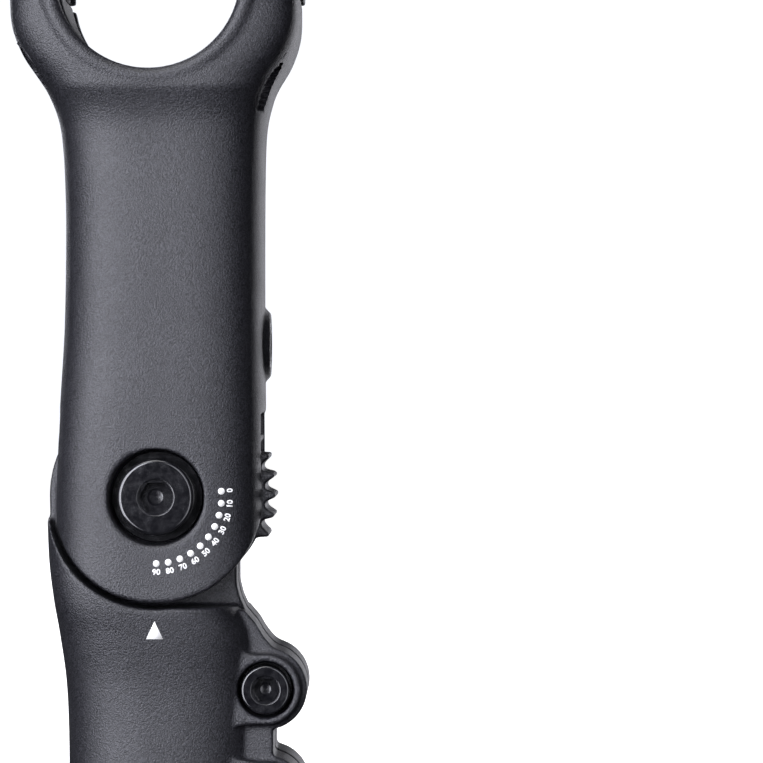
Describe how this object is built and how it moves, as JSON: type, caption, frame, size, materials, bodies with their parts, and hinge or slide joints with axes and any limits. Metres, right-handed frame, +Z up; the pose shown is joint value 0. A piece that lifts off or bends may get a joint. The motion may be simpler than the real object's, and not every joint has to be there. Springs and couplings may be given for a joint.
{
  "type": "adjustable handlebar stem",
  "caption": "Threadless bicycle stem whose forged arm tilts on a toothed pivot, with a split steerer clamp below and a two-piece handlebar clamp on top.",
  "frame": {"origin": "on the steerer axis at the bottom face of the steerer clamp", "axes": "+Z up the steerer, +X forward, the way the arm swings down, +Y to the left"},
  "size_m": [0.0536, 0.044, 0.1686],
  "materials": {
    "powder_coat": "satin black powder coat with a fine grain, on forged aluminium",
    "black_steel": "glossy black-oxide steel",
    "bare_steel": "machined steel",
    "bronze": "plain bearing bronze",
    "polymer": "matt friction polymer",
    "dial_ink": "white pad-printed ink"
  },
  "bodies": {
    "clamp": {"steerer_clamp": "powder_coat", "pivot_bush": "bronze"},
    "arm": {"extension_arm": "powder_coat", "pivot_sleeve_nut": "black_steel", "friction_washer_right": "polymer", "friction_washer_left": "polymer", "lock_washer": "black_steel"},
    "faceplate": {"bar_faceplate": "powder_coat"},
    "bar_screw_1": {"faceplate_bolt_1": "black_steel"},
    "bar_screw_2": {"faceplate_bolt_2": "black_steel"},
    "bar_screw_3": {"faceplate_bolt_3": "black_steel"},
    "bar_screw_4": {"faceplate_bolt_4": "black_steel"},
    "upper_ring": {"pinch_washer_upper": "black_steel"},
    "upper_screw": {"pinch_bolt_upper": "black_steel"},
    "lower_ring": {"pinch_washer_lower": "black_steel"},
    "lower_screw": {"pinch_bolt_lower": "black_steel"},
    "pivot_ring": {"pivot_washer": "black_steel"},
    "pivot_screw": {"pivot_bolt": "black_steel"},
    "lock_screw": {"lock_bolt": "black_steel"},
    "wedge": {"lock_wedge": "bare_steel"},
    "shoe": {"lock_shoe": "bare_steel"}
  },
  "joints": [
    {"name": "arm_pivot", "type": "hinge", "parent": "clamp", "child": "arm", "pos_m": [-0.0007, 0, 0.06], "axis": [0, 1, 0], "range_deg": [0, 90]},
    {"name": "faceplate_lift", "type": "slide", "parent": "arm", "child": "faceplate", "axis": [0, 0, 1], "range_m": [0, 0.0104]},
    {"name": "bar_screw_1_turn", "type": "hinge", "parent": "faceplate", "child": "bar_screw_1", "pos_m": [-0.0228, -0.0135, 0.15728], "axis": [0, 0, 1], "range_deg": [0, 4680]},
    {"name": "bar_screw_2_turn", "type": "hinge", "parent": "faceplate", "child": "bar_screw_2", "pos_m": [-0.0228, 0.0135, 0.15728], "axis": [0, 0, 1], "range_deg": [0, 4680]},
    {"name": "bar_screw_3_turn", "type": "hinge", "parent": "faceplate", "child": "bar_screw_3", "pos_m": [0.0188, -0.0135, 0.15728], "axis": [0, 0, 1], "range_deg": [0, 4680]},
    {"name": "bar_screw_4_turn", "type": "hinge", "parent": "faceplate", "child": "bar_screw_4", "pos_m": [0.0188, 0.0135, 0.15728], "axis": [0, 0, 1], "range_deg": [0, 4680]},
    {"name": "upper_ring_slide", "type": "slide", "parent": "clamp", "child": "upper_ring", "axis": [0, -1, 0], "range_m": [0, 0.004]},
    {"name": "upper_screw_turn", "type": "hinge", "parent": "upper_ring", "child": "upper_screw", "pos_m": [0.0181, -0.0101, 0.0263], "axis": [0, -1, 0], "range_deg": [0, 1800]},
    {"name": "lower_ring_slide", "type": "slide", "parent": "clamp", "child": "lower_ring", "axis": [0, -1, 0], "range_m": [0, 0.004]},
    {"name": "lower_screw_turn", "type": "hinge", "parent": "lower_ring", "child": "lower_screw", "pos_m": [0.0181, -0.0101, 0.0075], "axis": [0, -1, 0], "range_deg": [0, 1800]},
    {"name": "pivot_ring_slide", "type": "slide", "parent": "arm", "child": "pivot_ring", "axis": [0, -1, 0], "range_m": [0, 0.00375]},
    {"name": "pivot_screw_turn", "type": "hinge", "parent": "pivot_ring", "child": "pivot_screw", "pos_m": [-0.0007, -0.01506, 0.06], "axis": [0, -1, 0], "range_deg": [0, 1080]},
    {"name": "lock_screw_turn", "type": "hinge", "parent": "arm", "child": "lock_screw", "pos_m": [0.01376, 0, 0.0865], "axis": [-1, 0, 0], "range_deg": [0, 1800]},
    {"name": "wedge_slide", "type": "slide", "parent": "arm", "child": "wedge", "axis": [1, 0, 0], "range_m": [0, 0.004]},
    {"name": "shoe_slide", "type": "slide", "parent": "arm", "child": "shoe", "axis": [0, 0, -1], "range_m": [0, 0.0016]}
  ],
  "couplings": [
    {"joint": "bar_screw_1_turn", "follows": "faceplate_lift", "rad_per_m": 7853.9},
    {"joint": "bar_screw_2_turn", "follows": "faceplate_lift", "rad_per_m": 7853.9},
    {"joint": "bar_screw_3_turn", "follows": "faceplate_lift", "rad_per_m": 7853.9},
    {"joint": "bar_screw_4_turn", "follows": "faceplate_lift", "rad_per_m": 7853.9},
    {"joint": "upper_screw_turn", "follows": "upper_ring_slide", "rad_per_m": 7853.9},
    {"joint": "lower_screw_turn", "follows": "lower_ring_slide", "rad_per_m": 7853.9},
    {"joint": "pivot_screw_turn", "follows": "pivot_ring_slide", "rad_per_m": 5026.5},
    {"joint": "lock_screw_turn", "follows": "wedge_slide", "rad_per_m": 7853.9},
    {"joint": "shoe_slide", "follows": "wedge_slide", "ratio": 0.4}
  ]
}
